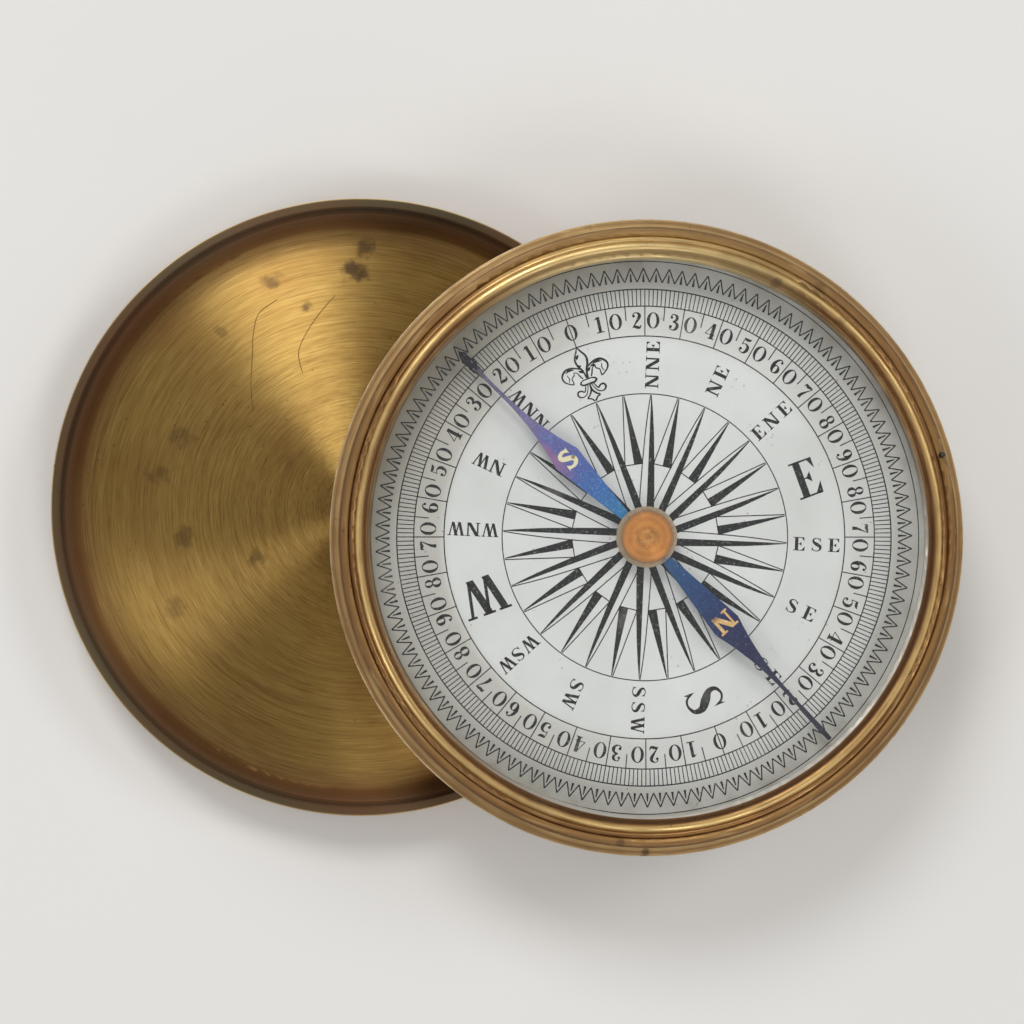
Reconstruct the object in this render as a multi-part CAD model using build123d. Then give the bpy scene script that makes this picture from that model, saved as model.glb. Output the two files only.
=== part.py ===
from build123d import *
import os
from math import cos, degrees, radians, sin, sqrt

# Pocket compass lying face up on its own lid. Millimetres and degrees.
# The origin is the centre of the lid's crown face, on the table, and +X points from the lid to the case.

# Outside: the case's flange and the lid have one radius, so they are flush when the lid is on
case_radius = 30.0
case_offset = 27.0
rest_gap = 0.05

# Clearances: a slip fit, a running fit, and pieces seated in one another
slip_gap = 0.05
run_gap = 0.04
seat_gap = 0.02

# Case cup
base_thickness = 1.2
mechanism_depth = 3.6
flange_thickness = 0.9
flange_overhang = 0.5
flange_round = 0.3
base_round = 0.9
ledge_width = 0.88
neck_wall = 0.92
neck_height = 1.4
neck_round = 0.38
neck_above_glass = 0.9
shelf_width = 1.8

# Dial, spacer ring and glass
dial_thickness = 0.8
dial_hole_radius = 1.9
dial_to_glass = 3.2
spacer_width = 1.0
glass_thickness = 1.0

# Bezel ring: a lip over the glass, a bead, and a cove against the neck
bezel_width = 2.1
bezel_lip_height = 0.2
bezel_bead_inset = 1.0
bezel_bead_width = 0.95
bezel_bead_foot = 0.75
bezel_bead_rise = 1.2
bezel_edge_height = 0.7
bezel_cove_depth = 0.18
bezel_quirk_depth = 0.15

# Lid
lid_crown_thickness = 0.8
lid_depth = 4.3
lid_step_width = 0.47
lid_closing_gap = 0.1
lid_crown_round = 1.2
lid_floor_round = 1.2
lid_rim_round = 0.15

# Pivot: a post in the base and the hard point in its top
stem_foot_radius = 1.5
stem_foot_height = 1.0
stem_socket_depth = 0.8
stem_radius = 0.9
stem_above_dial = 0.6
point_radius = 0.3
point_socket_depth = 1.2
point_taper = 0.7
point_tip_radius = 0.03

# Needle, its cap, jewel and washer
needle_above_dial = 1.3
needle_thickness = 0.35
needle_angle = 319.0
needle_bend = 3.1
north_tip_gap = 1.18
south_tip_gap = 2.68
north_shoulder = 11.4
south_shoulder = 10.6
shoulder_width = 2.8
root_radius = 2.4
root_width = 0.8
taper_run = 7.6
taper_width = 0.38
taper_sag = 0.25
waist_width = 0.32
club_width = 0.52
club_length = 1.5
club_run = 2.0
tip_width = 0.4
hub_radius = 1.4
hub_wall = 0.45
cap_radius = 2.9
cap_top_radius = 2.4
cap_height = 0.85
cap_edge = 0.3
cap_dish = 0.15
jewel_height = 0.5
jewel_above_needle = 0.1
jewel_cup_radius = 0.45
jewel_cup_depth = 0.3
washer_radius = 2.1
washer_thickness = 0.4

# Needle arrest: the pin that the lid presses, the lever under the dial and the collar that it lifts
lock_angle = 22.2
pin_radius = 0.25
pin_proud = 0.6
pin_round = 0.12
lever_above_base = 1.45
lever_thickness = 0.5
lever_width = 1.6
lever_ring_radius = 2.7
lever_ring_bore = 1.7
lever_gap = 0.05
slot_side_gap = 0.3
slot_end_gap = 0.15
fulcrum_pin_radius = 0.3
fulcrum_boss_radius = 0.75
cheek_gap = 0.2
cheek_thickness = 0.6
cheek_radius = 0.8
bracket_foot_thickness = 0.4
bracket_foot_length = 5.2
collar_wall = 0.5
collar_flange_radius = 2.3
collar_flange_thickness = 0.4
collar_to_washer = 0.2
spring_thickness = 0.25
spring_width = 1.6
spring_wall_gap = 1.4
spring_foot_length = 4.5
spring_rise_length = 4.5
spring_tip_to_fulcrum = 3.0
spring_gap = 0.15
screw_radius = 0.5
screw_depth = 0.8
screw_head_radius = 1.05
screw_head_height = 0.5
screw_slot_width = 0.25
screw_slot_depth = 0.2

# Radii and levels of the case, from its base upwards
neck_radius = case_radius - ledge_width
bore_radius = neck_radius - neck_wall
chamber_radius = bore_radius - shelf_width
body_radius = case_radius - flange_overhang
shelf_level = base_thickness + mechanism_depth
dial_top = shelf_level + dial_thickness
glass_bottom = dial_top + dial_to_glass
glass_top = glass_bottom + glass_thickness
neck_top = glass_top + neck_above_glass
ledge_level = neck_top - neck_height
seated_radius = bore_radius - seat_gap
spacer_bore = seated_radius - spacer_width

# The spring's foot stands clear of the wall, and the fulcrum stands before the spring's tip
spring_foot_end = chamber_radius - spring_wall_gap
spring_bend = spring_foot_end - spring_foot_length
spring_tip = spring_bend - spring_rise_length
fulcrum_radius = spring_tip - spring_tip_to_fulcrum

# Screws stand in the middle of the feet that they hold
bracket_screw_x = fulcrum_radius - (bracket_foot_length - cheek_radius) / 2
spring_screw_x = (spring_bend + spring_foot_end) / 2

# Levels of the needle and the arrest
needle_bottom = dial_top + needle_above_dial
needle_top = needle_bottom + needle_thickness
hub_bottom = needle_bottom - washer_thickness
jewel_bottom = needle_top + jewel_above_needle
jewel_top = jewel_bottom + jewel_height
hub_bore_radius = hub_radius - hub_wall
lever_bottom = base_thickness + lever_above_base
lever_top = lever_bottom + lever_thickness
lever_middle = lever_bottom + lever_thickness / 2
pin_circle = bore_radius + neck_wall / 2
lever_end = pin_circle + pin_radius
pin_travel = pin_proud - lid_closing_gap
lever_swing = pin_travel / (pin_circle - fulcrum_radius)
collar_lift = lever_swing * (fulcrum_radius + collar_flange_radius)
lid_height = lid_crown_thickness + lid_depth

# Places of the pieces as they lie
case_place = Location((case_offset, 0, lid_height + rest_gap), (0, 0, lock_angle))
needle_place = case_place * Location((0, 0, 0), (0, 0, needle_angle - lock_angle))


def turned(outline):
    """Solid of revolution about Z from an outline drawn as radius and level."""
    return revolve(Plane.XZ * outline, Axis.Z)


def rounded(outline, radius, level, size):
    """Outline with its corner at this radius and level rounded."""
    corner = outline.vertices().sort_by_distance((radius, level, 0))[0]
    return fillet(corner, size)


def ring(outer, inner, bottom, top):
    """Plain ring between two radii and two levels."""
    middle = (outer + inner) / 2
    return turned(Pos(middle, (bottom + top) / 2) * Rectangle(outer - inner, top - bottom))


def post(radius, bottom, top, x=0):
    """Upright cylinder at a distance x from the axis."""
    return Pos(x, 0, bottom) * extrude(Circle(radius), top - bottom)


def screw(bottom, x):
    """Cheese-head screw, seen from its head's underside level."""
    head = post(screw_head_radius, bottom, bottom + screw_head_height, x)
    slot_level = bottom + screw_head_height - screw_slot_depth / 2
    slot = Pos(x, 0, slot_level) * Box(2 * screw_head_radius, screw_slot_width, screw_slot_depth)
    shank = post(screw_radius, base_thickness - screw_depth + seat_gap, bottom, x)
    return head - slot + shank


def make_lid():
    """Shallow cup, crown down, with a step inside its rim for the neck's top."""
    bore = neck_radius + slip_gap
    step = bore - lid_step_width
    step_level = lid_height - neck_height - lid_closing_gap
    outline = make_face(
        Polyline(
            (0, 0),
            (case_radius, 0),
            (case_radius, lid_height),
            (bore, lid_height),
            (bore, step_level),
            (step, step_level),
            (step, lid_crown_thickness),
            (0, lid_crown_thickness),
            close=True,
        )
    )
    outline = rounded(outline, case_radius, 0, lid_crown_round)
    outline = rounded(outline, step, lid_crown_thickness, lid_floor_round)
    outline = rounded(outline, case_radius, lid_height, lid_rim_round)
    return turned(outline)


def make_case_cup():
    """Base, wall, flange and neck in one, with the way for the lever, the pin and the screws."""
    flange_level = ledge_level - flange_thickness
    socket_radius = stem_foot_radius + seat_gap
    socket_level = base_thickness - stem_socket_depth
    outline = make_face(
        Polyline(
            (0, socket_level),
            (0, 0),
            (body_radius, 0),
            (body_radius, flange_level - flange_overhang),
            (case_radius, flange_level),
            (case_radius, ledge_level),
            (neck_radius, ledge_level),
            (neck_radius, neck_top),
            (bore_radius, neck_top),
            (bore_radius, shelf_level),
            (chamber_radius, shelf_level),
            (chamber_radius, base_thickness),
            (socket_radius, base_thickness),
            (socket_radius, socket_level),
            close=True,
        )
    )
    outline = rounded(outline, body_radius, 0, base_round)
    outline = rounded(outline, case_radius, ledge_level, flange_round)
    outline = rounded(outline, neck_radius, neck_top, neck_round)
    outline = rounded(outline, bore_radius, neck_top, neck_round)
    cup = turned(outline)
    slot_bottom = lever_bottom - pin_travel - slot_side_gap
    slot_top = lever_top + slot_side_gap
    slot_end = lever_end + slot_end_gap
    slot_length = slot_end - chamber_radius + shelf_width
    slot_size = (slot_length, lever_width + 2 * slot_side_gap, slot_top - slot_bottom)
    cup -= Pos(slot_end - slot_length / 2, 0, (slot_bottom + slot_top) / 2) * Box(*slot_size)
    cup -= post(pin_radius + run_gap, slot_top - slot_side_gap, neck_top + pin_proud, pin_circle)
    for x in (bracket_screw_x, spring_screw_x):
        cup -= post(screw_radius + seat_gap, base_thickness - screw_depth, base_thickness, x)
    return cup


def make_bezel_ring():
    """Moulded ring: lip over the glass, hollow slope, bead, and a cove up to the neck."""
    lip = bore_radius - bezel_width
    bead = bore_radius - bezel_bead_inset
    bead_inner = bead - bezel_bead_width / 2
    bead_outer = bead + bezel_bead_width / 2
    lip_level = glass_top + bezel_lip_height
    foot_level = glass_top + bezel_bead_foot
    edge_level = glass_top + bezel_edge_height
    slope_top = foot_level - bezel_quirk_depth
    slope_middle = ((lip + bead_inner) / 2, (lip_level + slope_top) / 2 - bezel_quirk_depth)
    cove_middle = ((bead_outer + seated_radius) / 2, (foot_level + edge_level) / 2 - bezel_cove_depth)
    bottom = Polyline((lip, lip_level), (lip, glass_top), (seated_radius, glass_top), (seated_radius, edge_level))
    cove = ThreePointArc((seated_radius, edge_level), cove_middle, (bead_outer, foot_level))
    crown = ThreePointArc((bead_outer, foot_level), (bead, glass_top + bezel_bead_rise), (bead_inner, foot_level))
    quirk = Line((bead_inner, foot_level), (bead_inner, slope_top))
    slope = ThreePointArc((bead_inner, slope_top), slope_middle, (lip, lip_level))
    return turned(make_face(bottom + cove + crown + quirk + slope))


def make_pivot_stem():
    """Post with a foot pressed into the base and a bore for the point."""
    foot_bottom = base_thickness - stem_socket_depth
    foot_top = base_thickness + stem_foot_height
    top = dial_top + stem_above_dial
    stem = post(stem_foot_radius, foot_bottom, foot_top) + post(stem_radius, foot_top, top)
    return stem - post(point_radius + seat_gap, top - point_socket_depth, top)


def make_pivot_point():
    """Hard steel point standing in the post, its tip in the jewel's cup."""
    bottom = dial_top + stem_above_dial - point_socket_depth
    tip = jewel_bottom + jewel_cup_depth - seat_gap
    outline = make_face(
        Polyline(
            (0, bottom),
            (point_radius, bottom),
            (point_radius, tip - point_taper),
            (point_tip_radius, tip),
            (0, tip),
            close=True,
        )
    )
    return turned(outline)


def needle_arm(shoulder, tip_gap):
    """One arm along +X: straight flanks to the shoulder, a hollow taper, a fine blade, then a club end."""
    tip = spacer_bore - tip_gap
    club = tip - club_length
    waist = club - club_run
    taper_end = shoulder + taper_run
    taper_middle = (shoulder + taper_run / 2, (shoulder_width + taper_width) / 4 - taper_sag)
    flank = Polyline((0, 0), (0, root_width / 2), (root_radius, root_width / 2), (shoulder, shoulder_width / 2))
    taper = ThreePointArc((shoulder, shoulder_width / 2), taper_middle, (taper_end, taper_width / 2))
    blade = Polyline(
        (taper_end, taper_width / 2),
        (waist, waist_width / 2),
        (club, club_width / 2),
        (tip, tip_width / 2),
        (tip, 0),
        (0, 0),
    )
    half = make_face(flank + taper + blade)
    return half + mirror(half, Plane.XZ)


def make_needle():
    """Two arms and a round centre in one thin plate, slightly bent in its own plane."""
    south = Rot(0, 0, 180 + needle_bend) * needle_arm(south_shoulder, south_tip_gap)
    plate = needle_arm(north_shoulder, north_tip_gap) + south + Circle(root_radius)
    plate -= Circle(hub_radius + seat_gap)
    return Pos(0, 0, needle_bottom) * extrude(plate, needle_thickness)


def make_needle_cap():
    """Turned cap with a dished top, and a hub through the needle and washer that holds the jewel."""
    top = needle_top + cap_height
    dish_radius = (cap_top_radius**2 + cap_dish**2) / (2 * cap_dish)
    middle_rise = dish_radius - sqrt(dish_radius**2 - (cap_top_radius / 2) ** 2)
    dish_middle = (cap_top_radius / 2, top - cap_dish + middle_rise)
    outline = Polyline(
        (0, top - cap_dish),
        (0, jewel_top),
        (hub_bore_radius, jewel_top),
        (hub_bore_radius, hub_bottom),
        (hub_radius, hub_bottom),
        (hub_radius, needle_top),
        (cap_radius, needle_top),
        (cap_radius, needle_top + cap_edge),
        (cap_top_radius, top),
    )
    dish = ThreePointArc((cap_top_radius, top), dish_middle, (0, top - cap_dish))
    return turned(make_face(outline + dish))


def make_cap_jewel():
    """Stone with a conical cup underneath, set in the hub's bore."""
    radius = hub_bore_radius - seat_gap
    outline = make_face(
        Polyline(
            (0, jewel_bottom + jewel_cup_depth),
            (jewel_cup_radius, jewel_bottom),
            (radius, jewel_bottom),
            (radius, jewel_top),
            (0, jewel_top),
            close=True,
        )
    )
    return turned(outline)


def make_lift_collar():
    """Loose flanged tube on the post, raised by the lever's ring."""
    inner = stem_radius + run_gap
    outer = inner + collar_wall
    bottom = lever_top + lever_gap
    flange = ring(collar_flange_radius, inner, bottom, bottom + collar_flange_thickness)
    return flange + ring(outer, inner, bottom, hub_bottom - collar_to_washer)


def make_arrest_lever():
    """Flat bar with a ring round the post, a boss on the fulcrum pin, and an end under the lock pin."""
    end_centre = lever_end - lever_width / 2
    bar = Pos(end_centre / 2, 0) * Rectangle(end_centre, lever_width)
    plan = bar + Pos(end_centre, 0) * Circle(lever_width / 2) + Circle(lever_ring_radius)
    plan -= Circle(lever_ring_bore)
    lever = Pos(0, 0, lever_bottom) * extrude(plan, lever_thickness)
    across = Plane((fulcrum_radius, 0, lever_middle), z_dir=(0, 1, 0))
    lever += extrude(across * Circle(fulcrum_boss_radius), lever_width / 2, both=True)
    return lever - extrude(across * Circle(fulcrum_pin_radius + run_gap), lever_width, both=True)


def make_fulcrum_bracket():
    """Screwed foot with two round-topped cheeks that carry the fulcrum pin."""
    half_width = lever_width / 2 + cheek_gap + cheek_thickness
    foot_end = fulcrum_radius + cheek_radius
    foot_centre = foot_end - bracket_foot_length / 2
    foot_level = base_thickness + bracket_foot_thickness / 2
    bracket = Pos(foot_centre, 0, foot_level) * Box(bracket_foot_length, 2 * half_width, bracket_foot_thickness)
    pin_height = lever_middle - base_thickness
    cheek = Circle(cheek_radius) + Pos(0, -pin_height / 2) * Rectangle(2 * cheek_radius, pin_height)
    cheek -= Circle(fulcrum_pin_radius + seat_gap)
    for side in (1, -1):
        inner_face = side * (half_width - cheek_thickness)
        upright = Plane((fulcrum_radius, inner_face, lever_middle), x_dir=(1, 0, 0), z_dir=(0, -1, 0))
        bracket += extrude(upright * cheek, -side * cheek_thickness)
    return bracket - post(screw_radius + seat_gap, base_thickness, glass_bottom, bracket_screw_x)


def make_fulcrum_pin():
    """Pin through both cheeks and the lever's boss."""
    half_length = lever_width / 2 + cheek_gap + cheek_thickness
    across = Plane((fulcrum_radius, 0, lever_middle), z_dir=(0, 1, 0))
    return extrude(across * Circle(fulcrum_pin_radius), half_length, both=True)


def make_arrest_spring():
    """Leaf spring: a screwed foot and a tongue that rises to the lever's outer arm."""
    foot_top = base_thickness + spring_thickness
    tip_top = lever_bottom - spring_gap
    outline = make_face(
        Polyline(
            (spring_foot_end, base_thickness),
            (spring_bend, base_thickness),
            (spring_tip, tip_top - spring_thickness),
            (spring_tip, tip_top),
            (spring_bend, foot_top),
            (spring_foot_end, foot_top),
            close=True,
        )
    )
    spring = extrude(Plane.XZ * outline, spring_width / 2, both=True)
    return spring - post(screw_radius + seat_gap, base_thickness, glass_bottom, spring_screw_x)


def make_lock_pin():
    """Round-topped pin in the neck's wall, from the lever's end to just above the neck."""
    pin = post(pin_radius, lever_top + lever_gap, neck_top + pin_proud, pin_circle)
    return fillet(pin.edges().group_by(Axis.Z)[-1], pin_round)


case_pieces = {
    "case_cup": make_case_cup(),
    "bezel_ring": make_bezel_ring(),
    "glass": post(seated_radius, glass_bottom, glass_top),
    "dial_spacer": ring(seated_radius, spacer_bore, dial_top, glass_bottom),
    "dial": ring(seated_radius, dial_hole_radius, shelf_level, dial_top),
    "pivot_stem": make_pivot_stem(),
    "pivot_point": make_pivot_point(),
    "lift_collar": make_lift_collar(),
    "arrest_lever": make_arrest_lever(),
    "fulcrum_bracket": make_fulcrum_bracket(),
    "bracket_screw": screw(base_thickness + bracket_foot_thickness, bracket_screw_x),
    "fulcrum_pin": make_fulcrum_pin(),
    "arrest_spring": make_arrest_spring(),
    "spring_screw": screw(base_thickness + spring_thickness, spring_screw_x),
    "lock_pin": make_lock_pin(),
}
needle_pieces = {
    "needle": make_needle(),
    "needle_cap": make_needle_cap(),
    "cap_jewel": make_cap_jewel(),
    "cap_washer": ring(washer_radius, hub_radius + seat_gap, hub_bottom, needle_bottom),
}

placed = {"lid": make_lid()}
for name, shape in case_pieces.items():
    placed[name] = case_place * shape
for name, shape in needle_pieces.items():
    placed[name] = needle_place * shape

os.makedirs("parts", exist_ok=True)
for name, shape in placed.items():
    export_step(shape, f"parts/{name}.step")

fulcrum_x = case_offset + fulcrum_radius * cos(radians(lock_angle))
fulcrum_y = fulcrum_radius * sin(radians(lock_angle))
fulcrum_z = lid_height + rest_gap + lever_middle
print(f"case axis x {case_offset:.4f}, base level {lid_height + rest_gap:.4f}")
print(f"fulcrum {fulcrum_x:.4f} {fulcrum_y:.4f} {fulcrum_z:.4f}")
print(f"lever swing {degrees(lever_swing):.4f} degrees")
print(f"pin travel {pin_travel:.4f}, collar lift {collar_lift:.4f}")
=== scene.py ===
import math

import bpy
from mathutils import Matrix, Vector


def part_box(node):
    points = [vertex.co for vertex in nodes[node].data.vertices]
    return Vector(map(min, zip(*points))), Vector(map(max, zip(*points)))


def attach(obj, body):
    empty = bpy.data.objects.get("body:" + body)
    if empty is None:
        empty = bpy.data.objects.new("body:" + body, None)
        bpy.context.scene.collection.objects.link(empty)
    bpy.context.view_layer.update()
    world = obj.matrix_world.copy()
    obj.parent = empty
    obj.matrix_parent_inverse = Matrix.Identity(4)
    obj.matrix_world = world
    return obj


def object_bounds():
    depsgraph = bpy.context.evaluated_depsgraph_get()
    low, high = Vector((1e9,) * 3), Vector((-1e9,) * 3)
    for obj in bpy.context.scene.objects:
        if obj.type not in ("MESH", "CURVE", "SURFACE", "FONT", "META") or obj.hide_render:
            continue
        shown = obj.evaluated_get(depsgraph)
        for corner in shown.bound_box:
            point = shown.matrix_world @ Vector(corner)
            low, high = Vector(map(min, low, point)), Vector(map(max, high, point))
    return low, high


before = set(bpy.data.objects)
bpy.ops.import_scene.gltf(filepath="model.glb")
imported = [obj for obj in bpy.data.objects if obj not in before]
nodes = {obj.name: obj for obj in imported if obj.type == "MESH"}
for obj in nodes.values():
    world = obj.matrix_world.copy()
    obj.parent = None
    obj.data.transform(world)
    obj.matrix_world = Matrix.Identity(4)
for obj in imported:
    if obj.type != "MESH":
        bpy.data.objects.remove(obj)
cad_low, cad_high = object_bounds()

MM = 0.001

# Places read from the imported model, in metres
dial_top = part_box("dial")[1][2]
case_low, case_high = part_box("case_cup")
lid_low, lid_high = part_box("lid")
needle_low, needle_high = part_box("needle")
case_axis = Vector(((case_low[0] + case_high[0]) / 2, (case_low[1] + case_high[1]) / 2, 0))
lid_axis = Vector(((lid_low[0] + lid_high[0]) / 2, (lid_low[1] + lid_high[1]) / 2, 0))
needle_top = needle_high[2]
needle_middle = (needle_low[2] + needle_high[2]) / 2

# Dial layout, in millimetres and degrees; bearings run clockwise from north
engraving_centre = case_axis + Vector((0.08, 0.04, 0)) * MM
north_angle = 116.64
star_radius = 13.70
number_inner = 19.23
degree_inner = 22.10
degree_outer = 23.72
border_radius = 26.40
zigzag_inner = 24.40
zigzag_outer = 25.75
zigzag_teeth = 128
hairline = 0.10
ink_height = 0.012

# Drawn strokes: how much heavier than written, their least width, and points to each part of a curve
pen_weight = 1.2
pen_least = 0.004
curve_steps = 6

# Sides of the dial and the case, frame degrees: painted shade on the dial by the lip, yellowed numbers,
# painted shade on the case's lip, and painted highlight on the case's brass
dial_shade_side = 140.0
yellow_side = 200.0
case_shade_side = 310.0
case_highlight_side = 98.0

# Needle arms, frame degrees
north_arm = 319.0
south_arm = 142.1

# Stains on the lid's floor: place from the lid's axis and size in millimetres, and depth of tone
lid_floor = 0.8 * MM
lid_stains = (
    (-3.5, 23.2, 1.5, 0.85), (-2.7, 25.4, 1.2, 0.7), (-11.4, 21.1, 1.0, 0.6), (-7.8, 18.9, 0.7, 0.7),
    (-15.8, 15.7, 0.8, 0.4), (-18.3, 5.0, 1.3, 0.35), (-20.1, 0.9, 1.2, 0.35), (-9.6, -6.3, 1.1, 0.6),
    (-17.0, -5.0, 1.2, 0.45), (-17.2, -12.0, 1.2, 0.4),
)

# Stains on the case: radius in millimetres, frame degrees, size in millimetres and depth of tone
case_stains = (
    (29.7, 275.8, 0.55, 0.7), (28.7, 270.8, 0.5, 0.5), (27.3, 55.0, 0.6, 0.3), (28.5, 62.0, 0.7, 0.3),
    (26.7, 70.0, 0.5, 0.4), (29.0, 40.0, 0.6, 0.3),
)

# Worn places in the needle's gilt letters: place from the needle's axis and size, in millimetres
gilt_worn = ((7.3, -7.05, 0.5), (-7.8, 6.75, 0.25))


def linear(value):
    value = value / 255
    return value / 12.92 if value <= 0.04045 else ((value + 0.055) / 1.055) ** 2.4


def srgb(red, green, blue):
    return (linear(red), linear(green), linear(blue), 1.0)


class Shade:
    """A node material that is put together step by step. Places are measured from an axis at centre."""

    def __init__(self, name, centre=(0, 0, 0)):
        self.material = bpy.data.materials.new(name)
        self.material.use_nodes = True
        self.tree = self.material.node_tree
        self.surface = self.tree.nodes["Principled BSDF"]
        coordinates = self.node("ShaderNodeTexCoord").outputs["Object"]
        shift = self.node("ShaderNodeVectorMath", operation="SUBTRACT")
        self.feed(shift.inputs[0], coordinates)
        shift.inputs[1].default_value = centre
        self.place = shift.outputs[0]
        parts = self.node("ShaderNodeSeparateXYZ")
        self.feed(parts.inputs[0], self.place)
        self.height = parts.outputs["Z"]
        flat = self.node("ShaderNodeCombineXYZ")
        self.feed(flat.inputs["X"], parts.outputs["X"])
        self.feed(flat.inputs["Y"], parts.outputs["Y"])
        length = self.node("ShaderNodeVectorMath", operation="LENGTH")
        self.flat = flat.outputs[0]
        self.feed(length.inputs[0], self.flat)
        self.radius = length.outputs["Value"]

    def node(self, kind, **settings):
        made = self.tree.nodes.new(kind)
        for key, value in settings.items():
            setattr(made, key, value)
        return made

    def feed(self, socket, value):
        if isinstance(value, bpy.types.NodeSocket):
            self.tree.links.new(value, socket)
        else:
            socket.default_value = value

    def set(self, **values):
        for key, value in values.items():
            self.feed(self.surface.inputs[key.replace("_", " ")], value)

    def math(self, operation, first, second):
        made = self.node("ShaderNodeMath", operation=operation)
        self.feed(made.inputs[0], first)
        self.feed(made.inputs[1], second)
        return made.outputs[0]

    def span(self, value, low, high, to_low=0.0, to_high=1.0):
        """A value that goes softly from one level to another between two limits."""
        made = self.node("ShaderNodeMapRange", interpolation_type="SMOOTHSTEP")
        for socket, number in zip(made.inputs, (value, low, high, to_low, to_high)):
            self.feed(socket, number)
        return made.outputs[0]

    def noise(self, scale, detail=3.0):
        made = self.node("ShaderNodeTexNoise")
        self.feed(made.inputs["Vector"], self.place)
        made.inputs["Scale"].default_value = scale
        made.inputs["Detail"].default_value = detail
        return made.outputs["Fac"]

    def toward(self, angle):
        """How far a point lies from the axis along a direction."""
        made = self.node("ShaderNodeVectorMath", operation="DOT_PRODUCT")
        self.feed(made.inputs[0], self.flat)
        made.inputs[1].default_value = (*polar(1.0, angle), 0)
        return made.outputs["Value"]

    def rings(self, scale, detail=4.0):
        """Noise that is the same all round the axis."""
        made = self.node("ShaderNodeTexNoise", noise_dimensions="1D")
        self.feed(made.inputs["W"], self.math("ADD", self.radius, self.height))
        made.inputs["Scale"].default_value = scale
        made.inputs["Detail"].default_value = detail
        return made.outputs["Fac"]

    def streaks(self, along, across, detail):
        """Noise drawn out round the axis, as a lathe or a cloth leaves it."""
        spin = self.node("ShaderNodeVectorMath", operation="NORMALIZE")
        self.feed(spin.inputs[0], self.flat)
        wide = self.node("ShaderNodeVectorMath", operation="SCALE")
        self.feed(wide.inputs[0], spin.outputs[0])
        self.feed(wide.inputs["Scale"], along)
        rise = self.node("ShaderNodeCombineXYZ")
        profile = self.math("ADD", self.radius, self.height)
        self.feed(rise.inputs["Z"], self.math("MULTIPLY", profile, across))
        both = self.node("ShaderNodeVectorMath", operation="ADD")
        self.feed(both.inputs[0], wide.outputs[0])
        self.feed(both.inputs[1], rise.outputs[0])
        made = self.node("ShaderNodeTexNoise")
        self.feed(made.inputs["Vector"], both.outputs[0])
        made.inputs["Scale"].default_value = 1.0
        made.inputs["Detail"].default_value = detail
        return made.outputs["Fac"]

    def stain(self, colour, tone, x, y, size, strength):
        """A blot with a ragged edge at a place measured from the axis, in millimetres."""
        reach = self.node("ShaderNodeVectorMath", operation="DISTANCE")
        self.feed(reach.inputs[0], self.flat)
        reach.inputs[1].default_value = (x * MM, y * MM, 0)
        ragged = self.math("MULTIPLY", self.math("SUBTRACT", self.noise(900.0, 6.0), 0.5), size * 2.2 * MM)
        edge = self.math("ADD", reach.outputs["Value"], ragged)
        return self.mix(self.span(edge, size * 1.1 * MM, size * 0.3 * MM, 0.0, strength), colour, tone)

    def specks(self, scale, size):
        """Small round dots scattered through space."""
        made = self.node("ShaderNodeTexVoronoi", feature="F1")
        self.feed(made.inputs["Vector"], self.place)
        made.inputs["Scale"].default_value = scale
        return self.span(made.outputs["Distance"], size, size * 0.4)

    def ramp(self, value, stops, low=0.0, high=1.0):
        """Colours at given places of a value, blended between them."""
        scaled = self.node("ShaderNodeMapRange")
        for socket, number in zip(scaled.inputs, (value, low, high, 0.0, 1.0)):
            self.feed(socket, number)
        made = self.node("ShaderNodeValToRGB")
        self.feed(made.inputs[0], scaled.outputs[0])
        elements = made.color_ramp.elements
        while len(elements) < len(stops):
            elements.new(0.5)
        for element, (place, colour) in zip(elements, stops):
            element.position = (place - low) / (high - low)
            element.color = colour
        return made.outputs["Color"]

    def mix(self, amount, first, second):
        made = self.node("ShaderNodeMix", data_type="RGBA")
        self.feed(made.inputs["Factor"], amount)
        self.feed(made.inputs[6], first)
        self.feed(made.inputs[7], second)
        return made.outputs[2]

    def bump(self, height, strength, depth):
        made = self.node("ShaderNodeBump")
        made.inputs["Strength"].default_value = strength
        made.inputs["Distance"].default_value = depth
        self.feed(made.inputs["Height"], height)
        self.feed(self.surface.inputs["Normal"], made.outputs[0])

    def lathe_sheen(self, amount):
        """A sheen drawn out across turning marks that run round the axis."""
        around = self.node("ShaderNodeTangent", direction_type="RADIAL", axis="Z")
        self.feed(self.surface.inputs["Tangent"], around.outputs[0])
        self.set(Anisotropic=amount, Anisotropic_Rotation=0.25)


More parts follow.
